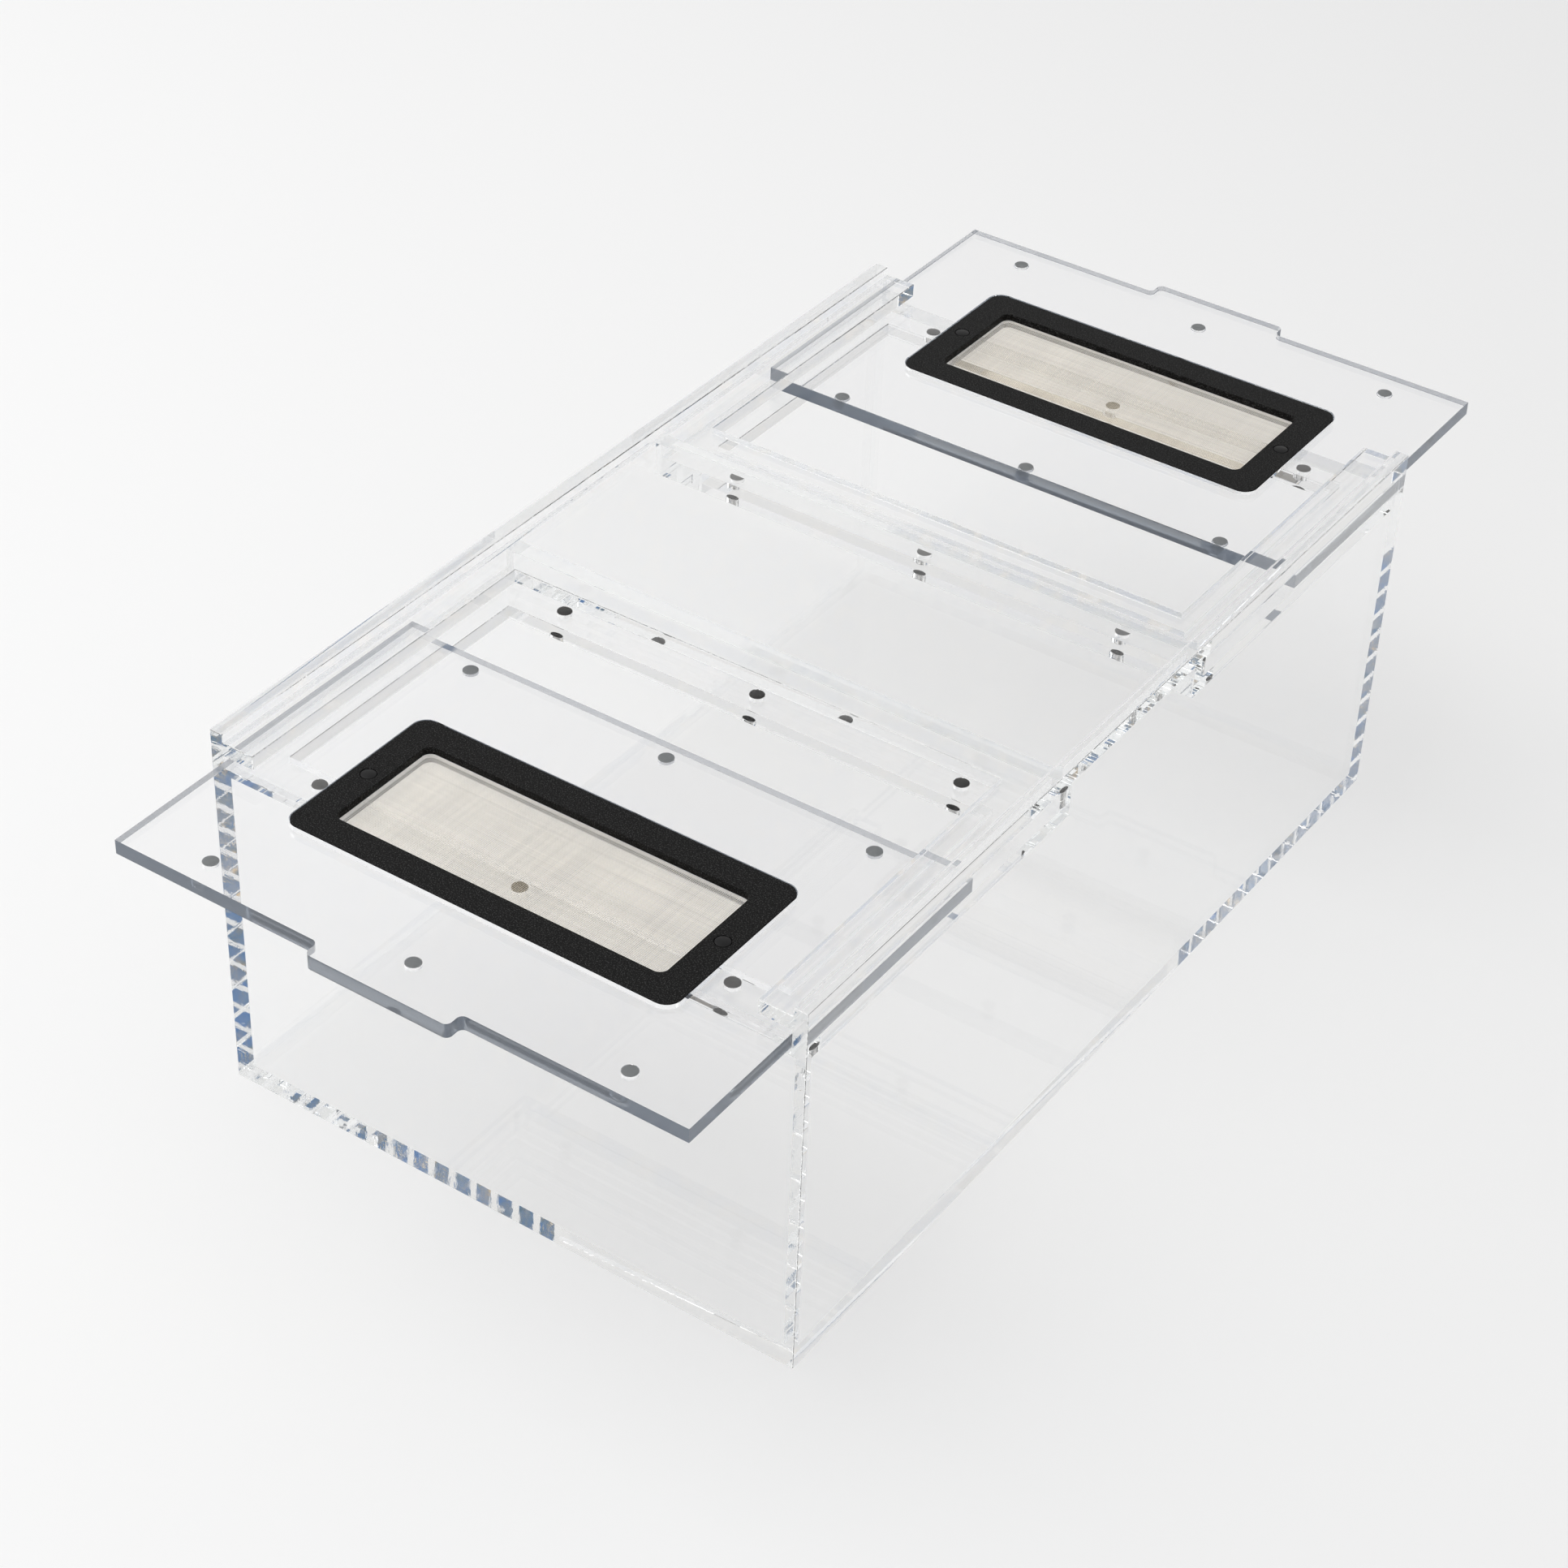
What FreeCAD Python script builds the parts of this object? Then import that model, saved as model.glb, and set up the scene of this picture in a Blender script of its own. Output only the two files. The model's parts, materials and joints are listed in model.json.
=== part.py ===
"""Clear sheet box with two magnet-latched sliding lids and lift-out vent inserts.

Frame: origin at the centre of the underside, +X to the right, +Y to the back, +Z up, millimetres.
The back half is the front half turned by 180 degrees about Z, so each pair of pieces is built once
and placed twice. The lids stand part way out, the front one less far than the back one.
"""
import FreeCAD
import Part
import os
import re

import Sketcher

DIMENSIONS = {
    # box
    "box_width": 215.0,
    "box_length": 357.0,
    "box_height": 137.0,
    "sheet_thickness": 5.0,
    # layers of the top, as heights above the underside
    "ledge_top_height": 122.0,
    "guide_bottom_height": 129.0,
    # strips of sheet that carry, guide and stop the lids, as distances from the end of the box
    "strip_width": 11.5,
    "end_ledge_width": 11.0,
    "guide_length": 124.5,
    "cross_bar_start": 121.0,
    "stop_start": 134.8,
    "stop_thickness": 6.5,
    # lids, measured from their outer edge inwards
    "lid_thickness": 5.0,
    "lid_length": 134.0,
    "lid_side_gap": 0.3,
    "lid_lift": 0.3,
    "lid_closed_inset": 0.5,
    "front_lid_opening": 47.5,
    "back_lid_opening": 60.0,
    "tab_width": 51.0,
    "tab_depth": 6.0,
    "tab_corner_radius": 2.0,
    # latch magnets
    "magnet_diameter": 5.0,
    "lid_magnet_thickness": 2.0,
    "ledge_magnet_thickness": 3.0,
    "magnet_fit": 0.05,
    "magnet_pitch": 75.0,
    "outer_magnet_setback": 10.5,
    "magnet_row_spacing": 118.5,
    # vent insert: a frame and a wire cloth, dropped into a recess of the lid
    "frame_width": 139.7,
    "frame_depth": 64.3,
    "frame_setback": 35.8,
    "frame_border": 10.4,
    "frame_thickness": 2.6,
    "frame_corner_radius": 5.0,
    "window_corner_radius": 3.0,
    "insert_gap": 0.3,
    "mesh_edge_inset": 0.5,
    "mesh_thickness": 0.4,
    "cutout_inset": 0.6,
    "insert_magnet_offset": 64.5,
    "insert_magnet_thickness": 2.0,
    "insert_magnet_fit": 0.15,
}

# each half's turn about Z in degrees; the front half is at the low end of Y
HALVES = {"front": 0.0, "back": 180.0}
SIDES = ("left", "right")

doc = FreeCAD.newDocument("vented_sliding_lid_box")
sheet = doc.addObject("Spreadsheet::Sheet", "dims")
for row, (alias, value) in enumerate(DIMENSIONS.items(), start=1):
    sheet.set(f"A{row}", alias)
    sheet.set(f"B{row}", str(value))
    sheet.setAlias(f"B{row}", alias)
doc.recompute()

nodes = []


def size_of(alias):
    """The value of a cell of the sheet."""
    return float(sheet.get(alias))


def bind(item, target, formula):
    """Drive a property or a named constraint by a formula of sheet aliases."""
    linked = re.sub(r"[a-z]+(?:_[a-z]+)+", lambda word: "dims." + word.group(0), formula)
    item.setExpression(target, linked)


def place(item, label, position, turn=0.0):
    """Name a finished sub-part and put it in the box's frame, by three formulas and a turn."""
    item.Label = label
    item.Placement.Rotation = FreeCAD.Rotation(FreeCAD.Vector(0, 0, 1), turn)
    for axis, formula in zip("xyz", position):
        bind(item, f"Placement.Base.{axis}", formula)
    nodes.append(item)


def plate(label, size, position, turn=0.0):
    """A rectangular piece of sheet: its length along X, Y and Z, and the place of its corner."""
    box = doc.addObject("Part::Box", label)
    for target, formula in zip(("Length", "Width", "Height"), size):
        bind(box, target, formula)
    place(box, label, position, turn)


def add_sketch(body, name, y_offset="0", height="0"):
    """A sketch on the body's XY plane, shifted in Y and raised by formulas."""
    sketch = body.newObject("Sketcher::SketchObject", name)
    plane = next(item for item in body.Origin.OriginFeatures if item.Role == "XY_Plane")
    sketch.AttachmentSupport = [(plane, "")]
    sketch.MapMode = "FlatFace"
    bind(sketch, "AttachmentOffset.Base.y", y_offset)
    bind(sketch, "AttachmentOffset.Base.z", height)
    return sketch


def constrain(sketch, name, constraint, formula):
    """Add a dimension to a sketch, name it and drive it by a formula."""
    index = sketch.addConstraint(constraint)
    sketch.renameConstraint(index, name)
    bind(sketch, f"Constraints.{name}", formula)


def rectangle(sketch, width, depth):
    """A rectangle centred on the sketch's Y axis, standing on its X axis."""
    corners = [(-20, 0), (20, 0), (20, 20), (-20, 20)]
    points = [FreeCAD.Vector(x, y, 0) for x, y in corners]
    for start in range(4):
        sketch.addGeometry(Part.LineSegment(points[start], points[(start + 1) % 4]))
    for line in range(4):
        sketch.addConstraint(Sketcher.Constraint("Coincident", line, 2, (line + 1) % 4, 1))
    sketch.addConstraint(Sketcher.Constraint("Vertical", 1))
    sketch.addConstraint(Sketcher.Constraint("Vertical", 3))
    sketch.addConstraint(Sketcher.Constraint("Horizontal", 2))
    sketch.addConstraint(Sketcher.Constraint("Symmetric", 0, 1, 0, 2, -2))
    sketch.addConstraint(Sketcher.Constraint("PointOnObject", 0, 1, -1))
    constrain(sketch, "width", Sketcher.Constraint("DistanceX", 0, 1, 0, 2, 40.0), width)
    constrain(sketch, "depth", Sketcher.Constraint("DistanceY", 1, 1, 1, 2, 20.0), depth)


def circle_row(sketch, diameter, pitch, places):
    """Equal circles on the sketch's X axis, at whole multiples of a pitch from its Y axis."""
    for number, step in enumerate(places):
        centre = FreeCAD.Vector(30.0 * step, 0, 0)
        sketch.addGeometry(Part.Circle(centre, FreeCAD.Vector(0, 0, 1), 2.0))
        constrain(sketch, f"diameter_{number}", Sketcher.Constraint("Diameter", number, 4.0), diameter)
        if step == 0:
            sketch.addConstraint(Sketcher.Constraint("Coincident", number, 3, -1, 1))
            continue
        sketch.addConstraint(Sketcher.Constraint("PointOnObject", number, 3, -1))
        ends = (-1, 1, number, 3) if step > 0 else (number, 3, -1, 1)
        distance = Sketcher.Constraint("DistanceX", *ends, 30.0 * abs(step))
        constrain(sketch, f"offset_{number}", distance, f"{abs(step)} * ({pitch})")


def pad(body, name, sketch, height):
    """Raise a sketch into a solid."""
    feature = body.newObject("PartDesign::Pad", name)
    feature.Profile = sketch
    bind(feature, "Length", height)
    doc.recompute()
    return feature


def pocket(body, name, sketch, depth, upwards=False):
    """Cut a sketch into the solid, downwards from it unless told otherwise."""
    before = body.Shape.Volume
    feature = body.newObject("PartDesign::Pocket", name)
    feature.Profile = sketch
    feature.Reversed = upwards
    bind(feature, "Length", depth)
    doc.recompute()
    if feature.Shape.Volume > before - 1e-3:
        raise RuntimeError(f"{body.Label}: {name} cuts nothing")
    return feature


def round_corners(body, name, radius, corners):
    """Fillet the upright edges that stand at the given (x, y) corners of the body."""
    base = body.Tip
    chosen = []
    for number, edge in enumerate(base.Shape.Edges, start=1):
        box = edge.BoundBox
        if box.XLength > 0.01 or box.YLength > 0.01:
            continue
        if any(abs(box.XMin - x) < 0.01 and abs(box.YMin - y) < 0.01 for x, y in corners):
            chosen.append(f"Edge{number}")
    if len(chosen) != len(corners):
        raise RuntimeError(f"{body.Label}: {name} found {len(chosen)} edges for {len(corners)} corners")
    fillet = body.newObject("PartDesign::Fillet", name)
    fillet.Base = (base, chosen)
    bind(fillet, "Radius", radius)
    doc.recompute()


def corners_of(width, depth, setback):
    """The four corners of a rectangle centred on X that starts at a setback along Y."""
    return [(sign * width / 2, y) for sign in (-1, 1) for y in (setback, setback + depth)]


def discs(label, diameter, thickness, pitch, places, position, turn):
    """A row of equal disc magnets, one solid each, in one node."""
    body = doc.addObject("PartDesign::Body", label)
    body.AllowCompound = True
    sketch = add_sketch(body, f"{label}_outline")
    circle_row(sketch, diameter, pitch, places)
    pad(body, f"{label}_pad", sketch, thickness)
    place(body, label, position, turn)


def drilled_strip(label, depth, hole_setback, position, turn):
    """A strip of sheet across the box with magnet pockets in its top, outer edge on the X axis."""
    body = doc.addObject("PartDesign::Body", label)
    outline = add_sketch(body, f"{label}_outline")
    rectangle(outline, "box_width - 2 * sheet_thickness", depth)
    pad(body, f"{label}_plate", outline, "sheet_thickness")
    holes = add_sketch(body, f"{label}_hole_outline", hole_setback, "sheet_thickness")
    circle_row(holes, "magnet_diameter + 2 * magnet_fit", "magnet_pitch", (-1, 0, 1))
    pocket(body, f"{label}_holes", holes, "ledge_magnet_thickness")
    place(body, label, position, turn)


def build_lid(half, position, turn):
    """A lid in its own frame: outer edge on the X axis, +Y towards its inner edge, underside at zero."""
    width = "(box_width - 2 * sheet_thickness - 2 * lid_side_gap)"
    recess_depth = "(frame_thickness + mesh_thickness + insert_gap)"
    cut_width = "(frame_width - 2 * frame_border - 2 * cutout_inset)"
    cut_depth = "(frame_depth - 2 * frame_border - 2 * cutout_inset)"
    body = doc.addObject("PartDesign::Body", f"{half}_lid")

    outline = add_sketch(body, f"{half}_lid_outline")
    rectangle(outline, width, "lid_length")
    pad(body, f"{half}_lid_plate", outline, "lid_thickness")
    tab = add_sketch(body, f"{half}_lid_tab_outline", "-tab_depth")
    rectangle(tab, "tab_width", "2 * tab_depth")
    pad(body, f"{half}_lid_tab", tab, "lid_thickness")
    tab_corners = corners_of(size_of("tab_width"), size_of("tab_depth"), -size_of("tab_depth"))
    round_corners(body, f"{half}_lid_tab_corners", "tab_corner_radius", tab_corners)

    recess = add_sketch(body, f"{half}_lid_recess_outline", "frame_setback - insert_gap", "lid_thickness")
    rectangle(recess, "frame_width + 2 * insert_gap", "frame_depth + 2 * insert_gap")
    pocket(body, f"{half}_lid_recess", recess, recess_depth)
    gap = size_of("insert_gap")
    recess_corners = corners_of(
        size_of("frame_width") + 2 * gap, size_of("frame_depth") + 2 * gap, size_of("frame_setback") - gap)
    round_corners(body, f"{half}_lid_recess_corners", "frame_corner_radius + insert_gap", recess_corners)

    cut = add_sketch(
        body, f"{half}_lid_cutout_outline", "frame_setback + frame_border + cutout_inset", "lid_thickness")
    rectangle(cut, cut_width, cut_depth)
    pocket(body, f"{half}_lid_cutout", cut, "lid_thickness")
    edge = size_of("frame_border") + size_of("cutout_inset")
    cut_corners = corners_of(
        size_of("frame_width") - 2 * edge, size_of("frame_depth") - 2 * edge,
        size_of("frame_setback") + edge)
    round_corners(body, f"{half}_lid_cutout_corners", "window_corner_radius", cut_corners)

    rows = {"outer": "outer_magnet_setback", "inner": "outer_magnet_setback + magnet_row_spacing"}
    for row_name, setback in rows.items():
        row_sketch = add_sketch(body, f"{half}_lid_{row_name}_hole_outline", setback)
        circle_row(row_sketch, "magnet_diameter + 2 * magnet_fit", "magnet_pitch", (-1, 0, 1))
        pocket(body, f"{half}_lid_{row_name}_holes", row_sketch, "lid_magnet_thickness", upwards=True)
    place(body, f"{half}_lid", position, turn)


def build_vent_frame(half, position, turn):
    """A vent frame in its own frame: outer edge on the X axis, underside at zero."""
    body = doc.addObject("PartDesign::Body", f"{half}_vent_frame")
    outline = add_sketch(body, f"{half}_vent_frame_outline")
    rectangle(outline, "frame_width", "frame_depth")
    pad(body, f"{half}_vent_frame_plate", outline, "frame_thickness")
    frame_corners = corners_of(size_of("frame_width"), size_of("frame_depth"), 0.0)
    round_corners(body, f"{half}_vent_frame_corners", "frame_corner_radius", frame_corners)

    window = add_sketch(body, f"{half}_vent_window_outline", "frame_border", "frame_thickness")
    rectangle(window, "frame_width - 2 * frame_border", "frame_depth - 2 * frame_border")
    pocket(body, f"{half}_vent_window", window, "frame_thickness")
    border = size_of("frame_border")
    window_corners = corners_of(
        size_of("frame_width") - 2 * border, size_of("frame_depth") - 2 * border, border)
    round_corners(body, f"{half}_vent_window_corners", "window_corner_radius", window_corners)

    holes = add_sketch(body, f"{half}_vent_hole_outline", "frame_depth / 2", "frame_thickness")
    circle_row(holes, "magnet_diameter + 2 * insert_magnet_fit", "insert_magnet_offset", (-1, 1))
    pocket(body, f"{half}_vent_holes", holes, "insert_magnet_thickness")
    place(body, f"{half}_vent_frame", position, turn)


def build_mesh(half, position, turn):
    """The wire cloth under a vent frame, as a thin sheet of its overall thickness."""
    body = doc.addObject("PartDesign::Body", f"{half}_vent_mesh")
    outline = add_sketch(body, f"{half}_vent_mesh_outline", "mesh_edge_inset")
    rectangle(outline, "frame_width - 2 * mesh_edge_inset", "frame_depth - 2 * mesh_edge_inset")
    pad(body, f"{half}_vent_mesh_sheet", outline, "mesh_thickness")
    inset = size_of("mesh_edge_inset")
    mesh_corners = corners_of(
        size_of("frame_width") - 2 * inset, size_of("frame_depth") - 2 * inset, inset)
    round_corners(body, f"{half}_vent_mesh_corners", "frame_corner_radius - mesh_edge_inset", mesh_corners)
    place(body, f"{half}_vent_mesh", position, turn)


# --- floor and walls: the long walls stand on the floor, the end walls stand between them ---
plate("base_panel", ("box_width", "box_length", "sheet_thickness"),
      ("-box_width / 2", "-box_length / 2", "0"))
wall_x = {"left": "-box_width / 2", "right": "box_width / 2 - sheet_thickness"}
for side in SIDES:
    plate(f"{side}_wall", ("sheet_thickness", "box_length", "box_height - sheet_thickness"),
          (wall_x[side], "-box_length / 2", "sheet_thickness"))

inner_width = "box_width - 2 * sheet_thickness"
strip_x = {"left": "-box_width / 2 + sheet_thickness",
           "right": "box_width / 2 - sheet_thickness - strip_width"}
across = {"front": "-box_width / 2 + sheet_thickness", "back": "box_width / 2 - sheet_thickness"}
ledge_bottom = "ledge_top_height - sheet_thickness"
bar_end = "stop_start + stop_thickness"

for half, turn in HALVES.items():
    outwards = -1 if half == "front" else 1

    def from_end(distance):
        """The Y of a place at a distance from this half's end of the box."""
        return f"{outwards} * (box_length / 2 - ({distance}))"

    plate(f"{half}_wall", (inner_width, "sheet_thickness", "ledge_top_height - sheet_thickness"),
          (across[half], from_end("0"), "sheet_thickness"), turn)

    # the ledge along the end wall and the bar under the lid's inner edge, with the latch magnets
    outer_row = "lid_closed_inset + outer_magnet_setback"
    inner_row = f"{outer_row} + magnet_row_spacing"
    drilled_strip(f"{half}_ledge", "end_ledge_width", f"{outer_row} - sheet_thickness",
                  ("0", from_end("sheet_thickness"), ledge_bottom), turn)
    drilled_strip(f"{half}_cross_bar", f"{bar_end} - cross_bar_start", f"{inner_row} - cross_bar_start",
                  ("0", from_end("cross_bar_start"), ledge_bottom), turn)
    for kind, row_place in (("ledge", outer_row), ("bar", inner_row)):
        discs(f"{half}_{kind}_magnets", "magnet_diameter", "ledge_magnet_thickness", "magnet_pitch",
              (-1, 0, 1), ("0", from_end(row_place), "ledge_top_height - ledge_magnet_thickness"), turn)

    # the strip on the bar that stops the lid
    plate(f"{half}_stop_strip", (inner_width, "stop_thickness", "guide_bottom_height - ledge_top_height"),
          (across[half], from_end("stop_start"), "ledge_top_height"), turn)

    # a side ledge below the lid and a guide above it, along each long wall
    for side in SIDES:
        low_y = {
            "ledge": "sheet_thickness + end_ledge_width",
            "guide": "0",
        }
        length = {
            "ledge": "cross_bar_start - sheet_thickness - end_ledge_width",
            "guide": "guide_length",
        }
        height = {"ledge": ledge_bottom, "guide": "guide_bottom_height"}
        for kind in ("ledge", "guide"):
            near = from_end(low_y[kind])
            corner_y = near if half == "front" else f"{near} - ({length[kind]})"
            plate(f"{half}_{side}_{kind}", ("strip_width", length[kind], "sheet_thickness"),
                  (strip_x[side], corner_y, height[kind]))

    # the lid, as far open as it stands, and what it carries
    lid_bottom = "ledge_top_height + lid_lift"
    opening = f"lid_closed_inset - {half}_lid_opening"
    build_lid(half, ("0", from_end(opening), lid_bottom), turn)
    for row_name, setback in (("outer", "outer_magnet_setback"),
                              ("inner", "outer_magnet_setback + magnet_row_spacing")):
        discs(f"{half}_lid_{row_name}_magnets", "magnet_diameter", "lid_magnet_thickness", "magnet_pitch",
              (-1, 0, 1), ("0", from_end(f"{opening} + {setback}"), lid_bottom), turn)

    frame_bottom = f"{lid_bottom} + lid_thickness - frame_thickness"
    frame_y = from_end(f"{opening} + frame_setback")
    build_vent_frame(half, ("0", frame_y, frame_bottom), turn)
    build_mesh(half, ("0", frame_y, f"{frame_bottom} - mesh_thickness"), turn)
    discs(f"{half}_vent_magnets", "magnet_diameter", "insert_magnet_thickness", "insert_magnet_offset",
          (-1, 1), ("0", from_end(f"{opening} + frame_setback + frame_depth / 2"),
                    f"{lid_bottom} + lid_thickness - insert_magnet_thickness"), turn)

# --- the fixed panel between the lids, on the stop strips and in line with the guides ---
plate("centre_panel", (inner_width, "box_length - 2 * guide_length", "sheet_thickness"),
      ("-box_width / 2 + sheet_thickness", "-box_length / 2 + guide_length", "guide_bottom_height"))
doc.recompute()

for item in doc.Objects:
    if "Invalid" in item.State or "Error" in item.State:
        raise RuntimeError(f"{item.Label}: {item.State}")
os.makedirs("parts", exist_ok=True)
for item in nodes:
    shape = item.Shape
    if shape.isNull() or not shape.isValid():
        raise RuntimeError(f"{item.Label}: bad shape")
    shape.exportStep(f"parts/{item.Label}.step")
print(f"{len(nodes)} nodes")
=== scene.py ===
"""Clear sheet box with sliding lids and wire-cloth vents, in a pale studio. Metres, +Z up."""

import json
import math

import bmesh
import bpy
from mathutils import Matrix, Vector


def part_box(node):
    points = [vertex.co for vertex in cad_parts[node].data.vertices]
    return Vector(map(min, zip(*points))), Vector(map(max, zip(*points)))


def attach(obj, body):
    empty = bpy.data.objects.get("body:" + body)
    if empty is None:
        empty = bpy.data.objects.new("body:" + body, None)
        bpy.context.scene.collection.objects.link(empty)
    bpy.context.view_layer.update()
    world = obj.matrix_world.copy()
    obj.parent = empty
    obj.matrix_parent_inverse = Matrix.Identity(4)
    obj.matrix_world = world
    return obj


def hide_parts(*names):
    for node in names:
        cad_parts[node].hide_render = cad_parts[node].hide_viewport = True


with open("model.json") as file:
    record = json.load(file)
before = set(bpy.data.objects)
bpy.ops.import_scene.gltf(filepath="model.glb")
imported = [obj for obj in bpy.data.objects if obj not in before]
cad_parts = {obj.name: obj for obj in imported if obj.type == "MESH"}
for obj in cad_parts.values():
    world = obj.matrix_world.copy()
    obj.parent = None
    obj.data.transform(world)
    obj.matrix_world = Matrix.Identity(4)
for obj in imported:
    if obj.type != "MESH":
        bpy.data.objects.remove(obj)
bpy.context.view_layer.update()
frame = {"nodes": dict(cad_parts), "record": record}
MM = 0.001
HALVES = ("front", "back")


# ---------------------------------------------------------------- node helpers
def new_material(name):
    """A material with a Principled shader; returns the material, its tree and the shader."""
    material = bpy.data.materials.new(name)
    material.use_nodes = True
    tree = material.node_tree
    return material, tree, tree.nodes["Principled BSDF"]


def set_inputs(node, **values):
    """Set some inputs of a node by name (spaces written as underscores)."""
    for key, value in values.items():
        node.inputs[key.replace("_", " ")].default_value = value


def add(tree, kind, **inputs):
    """A new shader node with some of its inputs set."""
    node = tree.nodes.new(kind)
    set_inputs(node, **inputs)
    return node


def object_coordinates(tree, scale=(1, 1, 1)):
    """Object coordinates in metres, scaled."""
    coordinates = tree.nodes.new("ShaderNodeTexCoord")
    mapping = add(tree, "ShaderNodeMapping", Scale=scale)
    tree.links.new(coordinates.outputs["Object"], mapping.inputs["Vector"])
    return mapping.outputs["Vector"]


def noise(tree, vector, scale, detail=2.0, roughness=0.5):
    """A noise texture on the given coordinates; returns its value output."""
    node = add(tree, "ShaderNodeTexNoise", Scale=scale, Detail=detail, Roughness=roughness)
    tree.links.new(vector, node.inputs["Vector"])
    return node.outputs["Fac"]


def remap(tree, value, source, target=(0.0, 1.0)):
    """A clamped linear map of a value from one range to another."""
    node = add(tree, "ShaderNodeMapRange", From_Min=source[0], From_Max=source[1],
               To_Min=target[0], To_Max=target[1])
    tree.links.new(value, node.inputs["Value"])
    return node.outputs["Result"]


def maths(tree, operation, first, second):
    """A sum, maximum or the like of two values."""
    node = tree.nodes.new("ShaderNodeMath")
    node.operation = operation
    tree.links.new(first, node.inputs[0])
    tree.links.new(second, node.inputs[1])
    return node.outputs[0]


def colour_between(tree, amount, low, high):
    """A colour that goes from one to another by an amount."""
    node = tree.nodes.new("ShaderNodeMix")
    node.data_type = "RGBA"
    tree.links.new(amount, node.inputs["Factor"])
    set_inputs(node, A=(*low, 1), B=(*high, 1))
    return node.outputs["Result"]


def colour_ramp(tree, value, stops):
    """A colour ramp of a value, from (position, colour) stops."""
    node = tree.nodes.new("ShaderNodeValToRGB")
    elements = node.color_ramp.elements
    while len(elements) < len(stops):
        elements.new(1.0)
    for element, (position, colour) in zip(elements, stops):
        element.position = position
        element.color = (*colour, 1)
    tree.links.new(value, node.inputs["Fac"])
    return node.outputs["Color"]


def mix_shaders(tree, amount, first, second):
    """Send a mix of two shaders to the material's output."""
    mix = tree.nodes.new("ShaderNodeMixShader")
    tree.links.new(amount, mix.inputs["Fac"])
    tree.links.new(first.outputs[0], mix.inputs[1])
    tree.links.new(second.outputs[0], mix.inputs[2])
    tree.links.new(mix.outputs[0], tree.nodes["Material Output"].inputs["Surface"])


def bump(tree, shader, height, distance, strength=1.0):
    """Drive a shader's normal by a height."""
    node = add(tree, "ShaderNodeBump", Strength=strength, Distance=distance)
    tree.links.new(height, node.inputs["Height"])
    tree.links.new(node.outputs["Normal"], shader.inputs["Normal"])


# ---------------------------------------------------------------- materials
# noise scales are in features per metre, except where the coordinates are scaled already
ACRYLIC_IOR = 1.49
SHEET_SHADOW = (0.98, 0.98, 0.98)  # what the sheet lets through to light the things behind it
LID_EDGE_SHADOW = (0.8, 0.8, 0.85)


def let_light_through(tree, shader, tint):
    """For the rays that light other surfaces, mix in a clear shader, as thin clear sheet does."""
    path = tree.nodes.new("ShaderNodeLightPath")
    lighting = maths(tree, "MAXIMUM", path.outputs["Is Shadow Ray"], path.outputs["Is Diffuse Ray"])
    through = add(tree, "ShaderNodeBsdfTransparent", Color=(*tint, 1))
    mix_shaders(tree, lighting, shader, through)


def clear_sheet(name, colour):
    """Polished clear sheet, with a few faint smudges in its gloss."""
    material, tree, shader = new_material(name)
    set_inputs(shader, Base_Color=(*colour, 1), Transmission_Weight=1.0, IOR=ACRYLIC_IOR)
    smudge = noise(tree, object_coordinates(tree), 14.0, 4.0)
    tree.links.new(remap(tree, smudge, (0.62, 0.8), (0.0, 0.012)), shader.inputs["Roughness"])
    let_light_through(tree, shader, SHEET_SHADOW)
    return material


def cut_edge(name, colour, thin, depth):
    """A polished cut edge: clear, with fine marks that run across the sheet, along its thin axis."""
    material, tree, shader = new_material(name)
    set_inputs(shader, Base_Color=(*colour, 1), Transmission_Weight=1.0, IOR=ACRYLIC_IOR, Roughness=0.0)
    scale = [1.0, 1.0, 1.0]
    scale[thin] = 0.25
    marks = noise(tree, object_coordinates(tree, scale), 850.0)
    bump(tree, shader, marks, depth)
    let_light_through(tree, shader, SHEET_SHADOW)
    return material


def cut_edges(name, colour, depth):
    """The cut edges of sheets that are thin along X, Y and Z."""
    return [cut_edge(f"{name}_{axis}", colour, index, depth) for index, axis in enumerate("xyz")]


def glue_seam(name):
    """The inside of a glued joint: light goes straight on, with a little haze."""
    material, tree, shader = new_material(name)
    tree.nodes.remove(shader)
    through = add(tree, "ShaderNodeBsdfTransparent", Color=(0.993, 0.995, 0.995, 1))
    haze = add(tree, "ShaderNodeBsdfTranslucent", Color=(0.97, 0.98, 0.98, 1))
    blotch = noise(tree, object_coordinates(tree), 180.0, 3.0)
    mix_shaders(tree, remap(tree, blotch, (0.5, 0.75), (0.0, 0.02)), through, haze)
    return material


def painted_dark_edge(name):
    """A lid's outer edge in painted dark reflection: dark blue-grey, half clear and a little dull, for
    the dark that a clear sheet's edge reflects within it.
    """
    material, tree, shader = new_material(name)
    set_inputs(shader, Base_Color=(0.215, 0.245, 0.29, 1), Transmission_Weight=0.5, IOR=ACRYLIC_IOR,
               Roughness=0.12)
    let_light_through(tree, shader, LID_EDGE_SHADOW)
    return material


def mottled(name, colour, roughness, metallic=0.0, specular=0.5):
    """An opaque material whose colour and roughness vary by up to a fifth in a slight mottle."""
    material, tree, shader = new_material(name)
    set_inputs(shader, Metallic=metallic, Specular_IOR_Level=specular)
    mottle = noise(tree, object_coordinates(tree), 900.0, 3.0)
    darker, lighter = ([share * channel for channel in colour] for share in (0.8, 1.2))
    tree.links.new(colour_between(tree, mottle, darker, lighter), shader.inputs["Base Color"])
    gloss = remap(tree, mottle, (0.3, 0.7), (0.8 * roughness, 1.2 * roughness))
    tree.links.new(gloss, shader.inputs["Roughness"])
    return material


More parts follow.
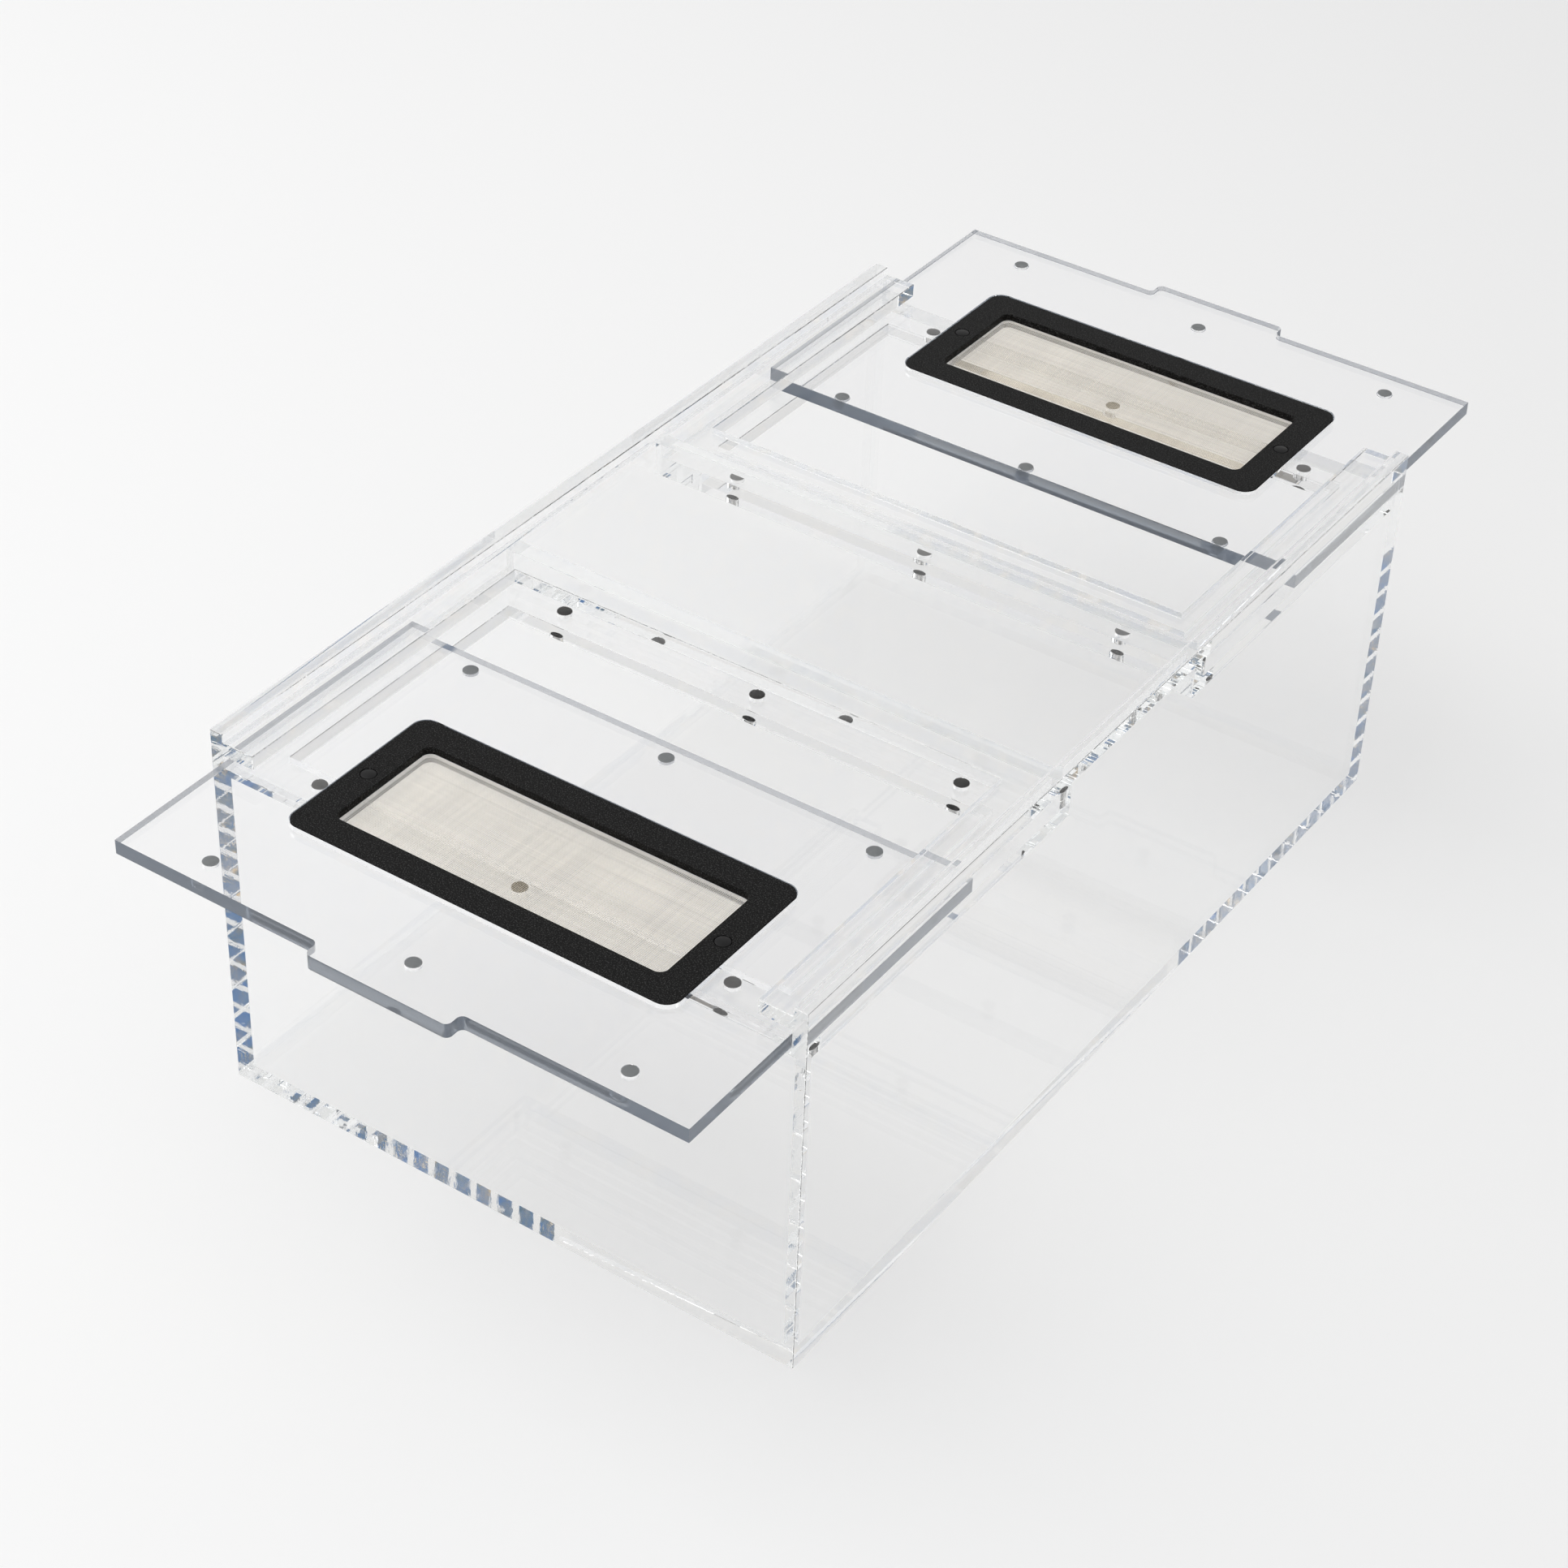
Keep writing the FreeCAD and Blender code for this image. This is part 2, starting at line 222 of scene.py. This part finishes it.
def grained_black(name):
    """Matte black moulding with a fine leathery grain and bright specks."""
    material, tree, shader = new_material(name)
    place = object_coordinates(tree)
    grain = noise(tree, place, 2300.0, 2.0, 0.6)
    speck = remap(tree, noise(tree, place, 2600.0), (0.54, 0.66))
    colour = colour_between(tree, speck, (0.002, 0.002, 0.002), (0.046, 0.046, 0.046))
    tree.links.new(colour, shader.inputs["Base Color"])
    set_inputs(shader, Roughness=0.55, Specular_IOR_Level=0.11)
    bump(tree, shader, grain, 0.12 * MM, 0.6)
    return material


def wire_steel(name, along):
    """Drawn steel wire: bright and dull streaks that follow the wires of one direction."""
    material, tree, shader = new_material(name)
    scale = [900.0, 900.0, 900.0]
    scale[along] = 16.0
    broad_scale = [0.09 * value for value in scale]
    streak = noise(tree, object_coordinates(tree, scale), 1.0)
    broad = noise(tree, object_coordinates(tree, broad_scale), 1.0)
    brightness = remap(tree, maths(tree, "ADD", streak, broad), (0.7, 1.3))
    colour = colour_between(tree, brightness, (0.62, 0.55, 0.44), (1.0, 0.92, 0.78))
    tree.links.new(colour, shader.inputs["Base Color"])
    set_inputs(shader, Metallic=1.0, Roughness=0.42)
    return material


CLEAR = clear_sheet("clear_acrylic", (0.997, 0.998, 0.998))
SAWN_EDGES = cut_edges("sawn_edge", (0.992, 0.995, 0.997), 0.007 * MM)
FINE_EDGES = cut_edges("fine_edge", (0.994, 0.996, 0.997), 0.0006 * MM)
SEAM = glue_seam("glue_seam")
LID_CLEAR = clear_sheet("lid_clear", (0.982, 0.982, 0.988))
# painted reflection: the lids' outer edges are dark blue-grey, for the dark that clear sheet edges
# reflect within the sheet
LID_EDGE_PAINTED_REFLECTION = painted_dark_edge("lid_edge_painted_reflection")
BLACK = grained_black("frame_black")
WARP_STEEL = wire_steel("wire_steel_warp", 1)
WEFT_STEEL = wire_steel("wire_steel_weft", 0)
NICKEL = mottled("magnet_nickel", (0.6, 0.59, 0.58), 0.2, metallic=1.0)
# painted shade: the magnets' eased rims are coloured far darker than their nickel sides
NICKEL_RIM_PAINTED_SHADE = mottled("magnet_rim_painted_shade", (0.14, 0.135, 0.13), 0.3, metallic=1.0)
# painted dark reflection: the nickel magnets' ends are a near-black non-metal, for the dark that their
# mirror tops would reflect
MAGNET_TOP_PAINTED_DARK_REFLECTION = mottled("magnet_top_painted_dark_reflection", (0.013, 0.012, 0.011), 0.4)
# painted dull reflection: the ends of the lid's magnets, seen through the lid, are a blue-grey
# non-metal in place of the nickel's mirror look
LID_MAGNET_TOP_PAINTED_REFLECTION = mottled("lid_magnet_top_painted_reflection", (0.16, 0.17, 0.175), 0.5)
FRAME_DISC = mottled("frame_magnet", (0.007, 0.007, 0.0075), 0.35, specular=0.17)
# painted shade: the frame magnets' sides and rims are pure black with no gloss, for the shadowed gap
# round each disc
FRAME_DISC_RIM_PAINTED_SHADE = mottled("frame_magnet_rim_painted_shade", (0.001, 0.001, 0.001), 0.8, specular=0.0)


# ---------------------------------------------------------------- pieces from CAD nodes
EASED_SHEET = 0.25 * MM
EASED_FRAME = 0.2 * MM
EASED_MAGNET = 0.18 * MM
# wide, so that the painted shade on the frame magnets' rims shows as a dark ring
EASED_FRAME_DISC = 0.35 * MM
FLAT = math.radians(0.5)  # faces that meet at less than this are one flat face
ROUNDED = math.radians(30)  # a smooth piece stays sharp where faces meet at more than this
CORNER = math.radians(50)  # an edge where faces meet at more than this is a corner
SAME_POINT = 1e-6
ON_THE_CUT = 1e-7
TOUCH = 2e-5  # pieces of the box whose faces are nearer than this are glued there

BODIES = frame["record"]["behaviour"]["bodies"]
MATERIAL_SLOTS = {entry["node"]: entry["material_slot"] for entry in frame["record"]["subparts"]}
CLEAR_NODES = [n for n in BODIES["enclosure"] if MATERIAL_SLOTS[n] == "clear_acrylic"]
BOXES = {n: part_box(n) for n in CLEAR_NODES}


def node_bmesh(node):
    """The CAD node's mesh, with its flat faces made whole."""
    mesh = bmesh.new()
    mesh.from_mesh(frame["nodes"][node].data)
    bmesh.ops.remove_doubles(mesh, verts=mesh.verts, dist=SAME_POINT)
    bmesh.ops.dissolve_limit(
        mesh, angle_limit=FLAT, verts=mesh.verts, edges=mesh.edges, delimit={"NORMAL"})
    return mesh


def bevel(mesh, edges, width):
    """Round some edges of a bmesh by a small width."""
    if edges:
        bmesh.ops.bevel(mesh, geom=edges, offset=width, offset_type="OFFSET", segments=2,
                        profile=0.5, affect="EDGES", clamp_overlap=True)


def sharp_edges(mesh):
    """The edges of a bmesh where two faces meet at a corner."""
    return [e for e in mesh.edges if len(e.link_faces) == 2 and e.calc_face_angle(0) > CORNER]


def finish_piece(mesh, node, materials, body, smooth=False):
    """Turn a bmesh into the piece that stands for a CAD node."""
    for face in mesh.faces:
        face.smooth = smooth
    data = bpy.data.meshes.new(f"{node}_piece")
    mesh.to_mesh(data)
    mesh.free()
    for material in materials:
        data.materials.append(material)
    piece = bpy.data.objects.new(f"{node}_piece", data)
    bpy.context.scene.collection.objects.link(piece)
    if smooth:
        data.set_sharp_from_angle(angle=ROUNDED)
    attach(piece, body)
    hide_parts(node)


def other_axes(axis):
    """The two axes that aren't this one."""
    return [a for a in range(3) if a != axis]


def along_axis(axis, length=1.0):
    """A vector of a length along one axis."""
    vector = Vector((0, 0, 0))
    vector[axis] = length
    return vector


def glued_patches(node):
    """Where other clear pieces touch this one: (axis, level, low corner, high corner) of each patch."""
    low, high = BOXES[node]
    patches = []
    for other, (other_low, other_high) in BOXES.items():
        if other == node:
            continue
        for axis in range(3):
            if abs(low[axis] - other_high[axis]) < TOUCH:
                level = low[axis]
            elif abs(high[axis] - other_low[axis]) < TOUCH:
                level = high[axis]
            else:
                continue
            start = Vector([max(low[a], other_low[a]) for a in range(3)])
            end = Vector([min(high[a], other_high[a]) for a in range(3)])
            if all(end[a] - start[a] > TOUCH for a in other_axes(axis)):
                patches.append((axis, level, start, end))
    return patches


def cut_round_patches(mesh, node, patches):
    """Cut a piece's faces in line with the borders of its glued patches."""
    low, high = BOXES[node]
    for axis, _, start, end in patches:
        for across in other_axes(axis):
            for value in (start[across], end[across]):
                if low[across] + TOUCH < value < high[across] - TOUCH:
                    bmesh.ops.bisect_plane(
                        mesh, geom=mesh.verts[:] + mesh.edges[:] + mesh.faces[:], dist=ON_THE_CUT,
                        plane_co=along_axis(across, value), plane_no=along_axis(across))


def clear_piece(node):
    """A piece of the glued box: its glued faces are marked, its free corners are eased."""
    sheet, edge, glued = range(3)
    mesh = node_bmesh(node)
    patches = glued_patches(node)
    cut_round_patches(mesh, node, patches)
    low, high = BOXES[node]
    sizes = [high[a] - low[a] for a in range(3)]
    thin = sizes.index(min(sizes))
    for face in mesh.faces:
        normal, centre = face.normal, face.calc_center_median()
        facing = max(range(3), key=lambda a: abs(normal[a]))
        face.material_index = sheet if facing == thin else edge
        for axis, level, start, end in patches:
            if axis != facing or abs(centre[axis] - level) > TOUCH:
                continue
            if all(start[a] < centre[a] < end[a] for a in other_axes(axis)):
                face.material_index = glued
    free = [e for e in sharp_edges(mesh) if all(f.material_index != glued for f in e.link_faces)]
    bevel(mesh, free, EASED_SHEET)
    edges = SAWN_EDGES if node.endswith(("wall", "base_panel")) else FINE_EDGES
    finish_piece(mesh, node, (CLEAR, edges[thin], SEAM), "enclosure")


for node in CLEAR_NODES:
    clear_piece(node)

RIM = 12 * MM  # a lid's upright faces further in than this are round its openings, not its outer edge


def lid_piece(half):
    """A lid: clear faces, an outer edge with the pull tab in painted dark reflection, and clear edges
    round its openings.
    """
    sheet, outer, inner = range(3)
    mesh = node_bmesh(f"{half}_lid")
    low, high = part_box(f"{half}_lid")
    bevel(mesh, sharp_edges(mesh), EASED_SHEET)
    for face in mesh.faces:
        centre = face.calc_center_median()
        if abs(face.normal.z) > 0.5:
            face.material_index = sheet
        elif all(low[a] + RIM < centre[a] < high[a] - RIM for a in (0, 1)):
            face.material_index = inner
        else:
            face.material_index = outer
    finish_piece(mesh, f"{half}_lid", (LID_CLEAR, LID_EDGE_PAINTED_REFLECTION, FINE_EDGES[2]), f"{half}_lid")


def vent_frame_piece(half):
    """A vent's moulded frame with eased edges."""
    mesh = node_bmesh(f"{half}_vent_frame")
    bevel(mesh, sharp_edges(mesh), EASED_FRAME)
    finish_piece(mesh, f"{half}_vent_frame", (BLACK,), f"{half}_vent")


for half in HALVES:
    lid_piece(half)

for half in HALVES:
    vent_frame_piece(half)


def disc_row(node, body, materials_with_painted_shade, ease):
    """Disc magnets with eased rims, given materials in order for their sides, ends and rims; the rims
    carry painted shade and the nickel magnets' ends painted reflection.
    """
    side, end, rim = range(3)
    mesh = node_bmesh(node)
    bevel(mesh, sharp_edges(mesh), ease)
    for face in mesh.faces:
        upright = abs(face.normal.z)
        if upright > 0.9:
            face.material_index = end
        elif upright < 0.1:
            face.material_index = side
        else:
            face.material_index = rim
    finish_piece(mesh, node, materials_with_painted_shade, body, smooth=True)


for body, nodes in BODIES.items():
    for node in nodes:
        if MATERIAL_SLOTS[node] == "magnet_nickel":
            # the nickel magnets' ends are painted dark: painted reflection in place of what their
            # mirror tops reflect
            painted_reflection_end = LID_MAGNET_TOP_PAINTED_REFLECTION if "_lid_" in node else MAGNET_TOP_PAINTED_DARK_REFLECTION
            disc_row(node, body, (NICKEL, painted_reflection_end, NICKEL_RIM_PAINTED_SHADE), EASED_MAGNET)
        elif MATERIAL_SLOTS[node] == "magnet_black":
            disc_row(node, body, (FRAME_DISC_RIM_PAINTED_SHADE, FRAME_DISC, FRAME_DISC_RIM_PAINTED_SHADE), EASED_FRAME_DISC)


# ---------------------------------------------------------------- woven wire cloth
WIRE_PITCH = 0.6 * MM
WIRE_RADIUS = 0.065 * MM
WIRE_SIDES = 4
CLOTH_CORNER = 4.5 * MM


def corner_cut(distance):
    """How far the cloth's rounded corner cuts a wire that runs at a distance inside its edge."""
    if distance >= CLOTH_CORNER:
        return 0.0
    return CLOTH_CORNER - math.sqrt(CLOTH_CORNER ** 2 - (CLOTH_CORNER - distance) ** 2)


def wire_set(low, high, along, phase):
    """Vertices and faces of the wires of one direction, each rising and falling at every crossing."""
    across = 1 - along
    count = int((high[across] - low[across]) / WIRE_PITCH)
    steps = int((high[along] - low[along]) / WIRE_PITCH)
    first_wire = (low[across] + high[across] - (count - 1) * WIRE_PITCH) / 2
    first_step = (low[along] + high[along] - (steps - 1) * WIRE_PITCH) / 2
    middle = (low[2] + high[2]) / 2
    angles = [2 * math.pi * (k + 0.5) / WIRE_SIDES for k in range(WIRE_SIDES)]
    section = [(math.cos(angle), math.sin(angle)) for angle in angles]
    vertices, faces = [], []
    for wire in range(count):
        place = first_wire + wire * WIRE_PITCH
        cut = corner_cut(min(place - low[across], high[across] - place))
        ring = None
        for step in range(steps):
            distance = first_step + step * WIRE_PITCH
            if not low[along] + cut < distance < high[along] - cut:
                continue
            rise = WIRE_RADIUS * (1 if (wire + step + phase) % 2 else -1)
            start = len(vertices)
            for side, up in section:
                point = [0.0, 0.0, middle + rise + WIRE_RADIUS * up]
                point[along] = distance
                point[across] = place + WIRE_RADIUS * side
                vertices.append(point)
            if ring is None:
                faces.append([start + k for k in range(WIRE_SIDES)])
            else:
                for k in range(WIRE_SIDES):
                    after = (k + 1) % WIRE_SIDES
                    faces.append([ring + k, ring + after, start + after, start + k])
            ring = start
        faces.append([ring + WIRE_SIDES - 1 - k for k in range(WIRE_SIDES)])
    return vertices, faces


for half in HALVES:
    low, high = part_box(f"{half}_vent_mesh")
    for name, steel, along, phase in (("warp", WARP_STEEL, 1, 0), ("weft", WEFT_STEEL, 0, 1)):
        vertices, faces = wire_set(low, high, along, phase)
        data = bpy.data.meshes.new(f"{half}_vent_{name}")
        data.from_pydata(vertices, [], faces)
        data.shade_smooth()
        data.materials.append(steel)
        wires = bpy.data.objects.new(f"{half}_vent_{name}", data)
        bpy.context.scene.collection.objects.link(wires)
        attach(wires, f"{half}_vent")
        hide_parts(f"{half}_vent_mesh")


# ---------------------------------------------------------------- studio
FLOOR_REACH = 6.0  # half of the floor's side
FLOOR_GAP = 0.2 * MM  # below the box, so that the two don't share a plane
SKY_STRENGTH = 0.78
HORIZON = 0.25  # the room brightens from the floor line up to this height on a unit sphere
# directions of two unlit corners of the room, which the cut edges pick up as dark stripes
UNLIT_CORNERS = ((0.44, 0.664, 0.605), (-0.44, -0.664, 0.605))
UNLIT_CORE = 14  # degrees from such a corner's middle to where it starts to fade
UNLIT_FADE = 18  # degrees to where it has faded out
LAMPS = (  # name, side of the square, watts, place, point it faces
    ("softbox", 1.6, 15, (-1.3, -0.3, 1.7), (0, 0, 0)),
    ("front_fill", 1.2, 4.6, (0.0, -0.9, 1.5), (0.0, -0.5, 0)))

floor_corners = [(x * FLOOR_REACH, y * FLOOR_REACH, 0) for x, y in ((-1, -1), (1, -1), (1, 1), (-1, 1))]
floor_mesh = bpy.data.meshes.new("studio_floor")
floor_mesh.from_pydata(floor_corners, [], [(0, 1, 2, 3)])
floor = bpy.data.objects.new("studio_floor", floor_mesh)
bpy.context.scene.collection.objects.link(floor)
paper, _, paper_shader = new_material("studio_paper")
set_inputs(paper_shader, Base_Color=(0.87, 0.87, 0.87, 1), Roughness=0.8, Specular_IOR_Level=0.1)
floor_mesh.materials.append(paper)
floor.location.z = -FLOOR_GAP

world = bpy.data.worlds.new("studio")
bpy.context.scene.world = world
world.use_nodes = True
sky = world.node_tree
background = sky.nodes["Background"]
set_inputs(background, Strength=SKY_STRENGTH)
direction = sky.nodes.new("ShaderNodeTexCoord").outputs["Generated"]


def patch(toward):
    """1 near a direction in the sky, fading to 0 round it."""
    closeness = sky.nodes.new("ShaderNodeVectorMath")
    closeness.operation = "DOT_PRODUCT"
    sky.links.new(direction, closeness.inputs[0])
    closeness.inputs[1].default_value = toward
    outside, inside = (math.cos(math.radians(angle)) for angle in (UNLIT_FADE, UNLIT_CORE))
    return remap(sky, closeness.outputs["Value"], (outside, inside))


def over(base, colour, amount):
    """A colour laid over a base colour by an amount."""
    mix = sky.nodes.new("ShaderNodeMix")
    mix.data_type = "RGBA"
    sky.links.new(base, mix.inputs["A"])
    sky.links.new(colour, mix.inputs["B"])
    sky.links.new(amount, mix.inputs["Factor"])
    return mix.outputs["Result"]


# a bright room, a little duller at the horizon
height = sky.nodes.new("ShaderNodeSeparateXYZ")
sky.links.new(direction, height.inputs[0])
room = colour_ramp(sky, remap(sky, height.outputs["Z"], (0.0, HORIZON)), (
    (0.0, (0.84, 0.84, 0.83)), (1.0, (1.0, 0.993, 0.98))))
# the unlit corners are mostly blue and slate, with specks of amber and of white
corner_colours = colour_ramp(sky, noise(sky, direction, 200.0, 1.0), (
    (0.42, (0.045, 0.18, 0.45)), (0.52, (0.09, 0.19, 0.30)), (0.60, (0.22, 0.23, 0.22)),
    (0.66, (0.80, 0.58, 0.34)), (0.71, (0.90, 0.90, 0.88))))
for corner in UNLIT_CORNERS:
    room = over(room, corner_colours, patch(corner))
sky.links.new(room, background.inputs["Color"])

for name, side, energy, place, aim in LAMPS:
    lamp = bpy.data.lights.new(name, "AREA")
    lamp.size = side
    lamp.energy = energy
    holder = bpy.data.objects.new(name, lamp)
    bpy.context.scene.collection.objects.link(holder)
    holder.location = place
    holder.rotation_euler = (Vector(aim) - holder.location).to_track_quat("-Z", "Y").to_euler()


# ---------------------------------------------------------------- camera: the view of the photograph
CAMERA_PLACE = (0.49676, -0.78334, 0.76123)
CAMERA_AZIMUTH = math.radians(33.4730)  # round the box, from its front towards its right
CAMERA_ELEVATION = math.radians(37.2332)
CAMERA_ROLL = math.radians(2.1517)
SENSOR_WIDTH = 36.0  # mm
FOCAL_LENGTH = 81.105  # mm

camera_data = bpy.data.cameras.new("camera")
camera_data.sensor_width = SENSOR_WIDTH
camera_data.lens = FOCAL_LENGTH
camera_data.clip_start = 0.05
camera_data.clip_end = 20
camera = bpy.data.objects.new("camera", camera_data)
bpy.context.scene.collection.objects.link(camera)
camera.matrix_world = (
    Matrix.Translation(CAMERA_PLACE)
    @ Matrix.Rotation(CAMERA_AZIMUTH, 4, "Z")
    @ Matrix.Rotation(math.pi / 2 - CAMERA_ELEVATION, 4, "X")
    @ Matrix.Rotation(CAMERA_ROLL, 4, "Z"))
bpy.context.scene.camera = camera

# the most faces that a ray of light bends or reflects at, and the most that it goes straight through
BENDS = 128
STRAIGHT_PASSES = 64
scene = bpy.context.scene
scene.view_settings.view_transform = "Standard"
scene.cycles.max_bounces = BENDS
scene.cycles.transmission_bounces = BENDS
scene.cycles.glossy_bounces = BENDS
scene.cycles.transparent_max_bounces = STRAIGHT_PASSES
